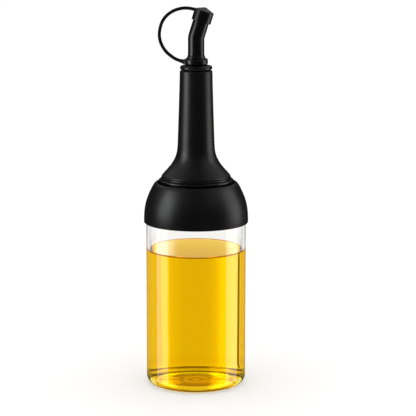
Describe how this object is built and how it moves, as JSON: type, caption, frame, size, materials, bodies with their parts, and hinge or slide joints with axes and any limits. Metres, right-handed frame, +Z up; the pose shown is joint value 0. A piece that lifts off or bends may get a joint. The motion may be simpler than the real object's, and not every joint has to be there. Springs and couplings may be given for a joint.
{
  "type": "oil dispenser bottle",
  "caption": "Clear glass oil bottle with a domed black screw collar, a tapered pouring neck, a ribbed pull-out stopper and a bent swivel spout with a tethered cap.",
  "frame": {"origin": "on the bottle's axis, at the plane that the base stands on", "axes": "+Z up along the bottle's axis; the spout leans towards +X and the tether loops towards -X; -Y faces the viewer"},
  "size_m": [0.0752, 0.0752, 0.2737],
  "materials": {
    "clear_glass": "clear, polished",
    "oil": "clear golden liquid",
    "collar_black": "fine matt",
    "ring_black": "moulded",
    "neck_black": "fine matt",
    "base_ring_rubber": "satin",
    "gasket_silicone": "translucent",
    "socket_black": "satin",
    "plug_silicone": "translucent",
    "spout_black": "satin",
    "seal_rubber": "satin",
    "tether_black": "satin, flexible",
    "cap_black": "satin, flexible"
  },
  "bodies": {
    "bottle": {"glass_body": "clear_glass", "oil_fill": "oil"},
    "neck": {"neck_tower": "neck_black", "neck_base_ring": "base_ring_rubber", "mouth_gasket": "gasket_silicone"},
    "collar": {"dome_collar": "collar_black", "threaded_ring": "ring_black"},
    "stopper": {"stopper_socket": "socket_black", "ribbed_plug": "plug_silicone"},
    "spout": {"spout_tube": "spout_black", "rim_seal_ring": "seal_rubber", "tether_ring": "tether_black", "tether_strap": "tether_black"},
    "cap": {"spout_cap": "cap_black"}
  },
  "joints": [
    {"name": "neck_lift", "type": "slide", "parent": "bottle", "child": "neck", "axis": [0, 0, 1], "range_m": [0, 0.0216]},
    {"name": "collar_turn", "type": "hinge", "parent": "neck", "child": "collar", "pos_m": [0, 0, 0.132], "axis": [0, 0, 1], "range_deg": [0, 516]},
    {"name": "stopper_pull", "type": "slide", "parent": "neck", "child": "stopper", "axis": [0, 0, 1], "range_m": [0, 0.036]},
    {"name": "spout_swivel", "type": "hinge", "parent": "stopper", "child": "spout", "pos_m": [0, 0, 0.2225], "axis": [0, 0, 1], "continuous": true},
    {"name": "cap_pull", "type": "slide", "parent": "spout", "child": "cap", "axis": [0.2974, 0, 0.9548], "range_m": [0, 0.012], "deforming": ["tether_strap"]}
  ],
  "couplings": [
    {"joint": "neck_lift", "follows": "collar_turn", "m_per_rad": 0.0023873}
  ]
}
